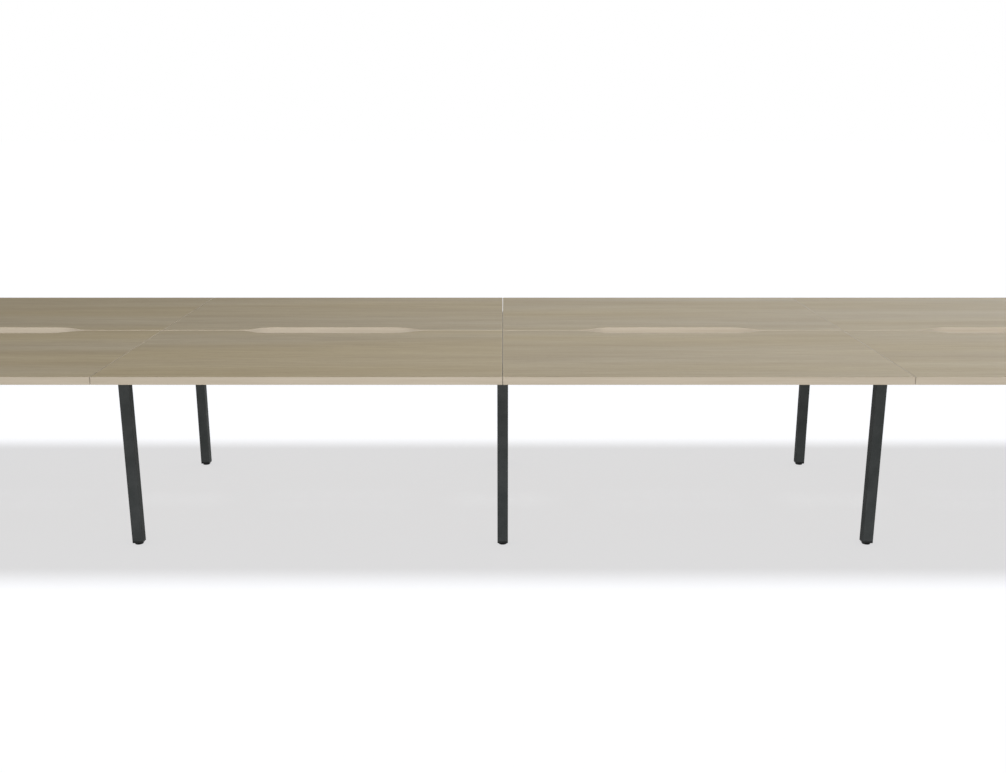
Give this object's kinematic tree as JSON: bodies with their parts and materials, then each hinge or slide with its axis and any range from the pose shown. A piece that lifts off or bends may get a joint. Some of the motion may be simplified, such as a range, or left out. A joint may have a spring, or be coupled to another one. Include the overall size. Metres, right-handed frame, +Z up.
{
  "type": "double desk",
  "caption": "Row of face-to-face double desks: wood-decor tops back to back with cable ports over trays, on shared square-tube leg frames with levelling feet.",
  "frame": {"origin": "on the floor, midway along the row and midway between the two rows of tops", "axes": "+X along the row, +Y from the front row to the back row, +Z up"},
  "size_m": [5.5984, 1.61, 0.74],
  "materials": {
    "desktop_decor": "melamine-faced board with a fine grey-beige wood grain along the row, matt",
    "edge_band": "glued plastic edge band in a lighter tone of the decor",
    "frame_steel": "fine-textured anthracite powder coat on square steel tube",
    "tray_steel": "anthracite powder coat on folded steel sheet",
    "black_plastic": "moulded black plastic, lightly textured",
    "zinc_steel": "zinc-plated steel fasteners"
  },
  "bodies": {
    "desk": {"desktop_front_1": "desktop_decor", "desktop_front_2": "desktop_decor", "desktop_front_3": "desktop_decor", "desktop_front_4": "desktop_decor", "desktop_back_1": "desktop_decor", "desktop_back_2": "desktop_decor", "desktop_back_3": "desktop_decor", "desktop_back_4": "desktop_decor", "edge_band_front_1": "edge_band", "edge_band_front_2": "edge_band", "edge_band_front_3": "edge_band", "edge_band_front_4": "edge_band", "edge_band_back_1": "edge_band", "edge_band_back_2": "edge_band", "edge_band_back_3": "edge_band", "edge_band_back_4": "edge_band", "end_frame_left": "frame_steel", "middle_frame_1": "frame_steel", "middle_frame_2": "frame_steel", "middle_frame_3": "frame_steel", "end_frame_right": "frame_steel", "beam_front_1": "frame_steel", "beam_front_2": "frame_steel", "beam_front_3": "frame_steel", "beam_front_4": "frame_steel", "beam_back_1": "frame_steel", "beam_back_2": "frame_steel", "beam_back_3": "frame_steel", "beam_back_4": "frame_steel", "cable_tray_1": "tray_steel", "cable_tray_2": "tray_steel", "cable_tray_3": "tray_steel", "cable_tray_4": "tray_steel", "beam_bolts": "zinc_steel", "weld_nuts": "zinc_steel", "top_screws": "zinc_steel", "rail_end_caps": "black_plastic", "leg_plugs": "black_plastic"},
    "pad_left_front": {"foot_pad_left_front": "black_plastic"},
    "stud_left_front": {"foot_stud_left_front": "zinc_steel"},
    "pad_left_back": {"foot_pad_left_back": "black_plastic"},
    "stud_left_back": {"foot_stud_left_back": "zinc_steel"},
    "pad_middle_1_front": {"foot_pad_middle_1_front": "black_plastic"},
    "stud_middle_1_front": {"foot_stud_middle_1_front": "zinc_steel"},
    "pad_middle_1_back": {"foot_pad_middle_1_back": "black_plastic"},
    "stud_middle_1_back": {"foot_stud_middle_1_back": "zinc_steel"},
    "pad_middle_2_front": {"foot_pad_middle_2_front": "black_plastic"},
    "stud_middle_2_front": {"foot_stud_middle_2_front": "zinc_steel"},
    "pad_middle_2_back": {"foot_pad_middle_2_back": "black_plastic"},
    "stud_middle_2_back": {"foot_stud_middle_2_back": "zinc_steel"},
    "pad_middle_3_front": {"foot_pad_middle_3_front": "black_plastic"},
    "stud_middle_3_front": {"foot_stud_middle_3_front": "zinc_steel"},
    "pad_middle_3_back": {"foot_pad_middle_3_back": "black_plastic"},
    "stud_middle_3_back": {"foot_stud_middle_3_back": "zinc_steel"},
    "pad_right_front": {"foot_pad_right_front": "black_plastic"},
    "stud_right_front": {"foot_stud_right_front": "zinc_steel"},
    "pad_right_back": {"foot_pad_right_back": "black_plastic"},
    "stud_right_back": {"foot_stud_right_back": "zinc_steel"}
  },
  "joints": [
    {"name": "foot_travel_left_front", "type": "slide", "parent": "desk", "child": "pad_left_front", "axis": [0, 0, -1], "range_m": [0, 0.015]},
    {"name": "foot_turn_left_front", "type": "hinge", "parent": "pad_left_front", "child": "stud_left_front", "pos_m": [-2.76925, -0.775, 0.02], "axis": [0, 0, -1], "range_deg": [0, 4320]},
    {"name": "foot_travel_left_back", "type": "slide", "parent": "desk", "child": "pad_left_back", "axis": [0, 0, -1], "range_m": [0, 0.015]},
    {"name": "foot_turn_left_back", "type": "hinge", "parent": "pad_left_back", "child": "stud_left_back", "pos_m": [-2.76925, 0.775, 0.02], "axis": [0, 0, -1], "range_deg": [0, 4320]},
    {"name": "foot_travel_middle_1_front", "type": "slide", "parent": "desk", "child": "pad_middle_1_front", "axis": [0, 0, -1], "range_m": [0, 0.015]},
    {"name": "foot_turn_middle_1_front", "type": "hinge", "parent": "pad_middle_1_front", "child": "stud_middle_1_front", "pos_m": [-1.4, -0.48, 0.02], "axis": [0, 0, -1], "range_deg": [0, 4320]},
    {"name": "foot_travel_middle_1_back", "type": "slide", "parent": "desk", "child": "pad_middle_1_back", "axis": [0, 0, -1], "range_m": [0, 0.015]},
    {"name": "foot_turn_middle_1_back", "type": "hinge", "parent": "pad_middle_1_back", "child": "stud_middle_1_back", "pos_m": [-1.4, 0.48, 0.02], "axis": [0, 0, -1], "range_deg": [0, 4320]},
    {"name": "foot_travel_middle_2_front", "type": "slide", "parent": "desk", "child": "pad_middle_2_front", "axis": [0, 0, -1], "range_m": [0, 0.015]},
    {"name": "foot_turn_middle_2_front", "type": "hinge", "parent": "pad_middle_2_front", "child": "stud_middle_2_front", "pos_m": [0, -0.48, 0.02], "axis": [0, 0, -1], "range_deg": [0, 4320]},
    {"name": "foot_travel_middle_2_back", "type": "slide", "parent": "desk", "child": "pad_middle_2_back", "axis": [0, 0, -1], "range_m": [0, 0.015]},
    {"name": "foot_turn_middle_2_back", "type": "hinge", "parent": "pad_middle_2_back", "child": "stud_middle_2_back", "pos_m": [0, 0.48, 0.02], "axis": [0, 0, -1], "range_deg": [0, 4320]},
    {"name": "foot_travel_middle_3_front", "type": "slide", "parent": "desk", "child": "pad_middle_3_front", "axis": [0, 0, -1], "range_m": [0, 0.015]},
    {"name": "foot_turn_middle_3_front", "type": "hinge", "parent": "pad_middle_3_front", "child": "stud_middle_3_front", "pos_m": [1.4, -0.48, 0.02], "axis": [0, 0, -1], "range_deg": [0, 4320]},
    {"name": "foot_travel_middle_3_back", "type": "slide", "parent": "desk", "child": "pad_middle_3_back", "axis": [0, 0, -1], "range_m": [0, 0.015]},
    {"name": "foot_turn_middle_3_back", "type": "hinge", "parent": "pad_middle_3_back", "child": "stud_middle_3_back", "pos_m": [1.4, 0.48, 0.02], "axis": [0, 0, -1], "range_deg": [0, 4320]},
    {"name": "foot_travel_right_front", "type": "slide", "parent": "desk", "child": "pad_right_front", "axis": [0, 0, -1], "range_m": [0, 0.015]},
    {"name": "foot_turn_right_front", "type": "hinge", "parent": "pad_right_front", "child": "stud_right_front", "pos_m": [2.76925, -0.775, 0.02], "axis": [0, 0, -1], "range_deg": [0, 4320]},
    {"name": "foot_travel_right_back", "type": "slide", "parent": "desk", "child": "pad_right_back", "axis": [0, 0, -1], "range_m": [0, 0.015]},
    {"name": "foot_turn_right_back", "type": "hinge", "parent": "pad_right_back", "child": "stud_right_back", "pos_m": [2.76925, 0.775, 0.02], "axis": [0, 0, -1], "range_deg": [0, 4320]}
  ],
  "couplings": [
    {"joint": "foot_turn_left_front", "follows": "foot_travel_left_front", "rad_per_m": 5026.5},
    {"joint": "foot_turn_left_back", "follows": "foot_travel_left_back", "rad_per_m": 5026.5},
    {"joint": "foot_turn_middle_1_front", "follows": "foot_travel_middle_1_front", "rad_per_m": 5026.5},
    {"joint": "foot_turn_middle_1_back", "follows": "foot_travel_middle_1_back", "rad_per_m": 5026.5},
    {"joint": "foot_turn_middle_2_front", "follows": "foot_travel_middle_2_front", "rad_per_m": 5026.5},
    {"joint": "foot_turn_middle_2_back", "follows": "foot_travel_middle_2_back", "rad_per_m": 5026.5},
    {"joint": "foot_turn_middle_3_front", "follows": "foot_travel_middle_3_front", "rad_per_m": 5026.5},
    {"joint": "foot_turn_middle_3_back", "follows": "foot_travel_middle_3_back", "rad_per_m": 5026.5},
    {"joint": "foot_turn_right_front", "follows": "foot_travel_right_front", "rad_per_m": 5026.5},
    {"joint": "foot_turn_right_back", "follows": "foot_travel_right_back", "rad_per_m": 5026.5}
  ]
}
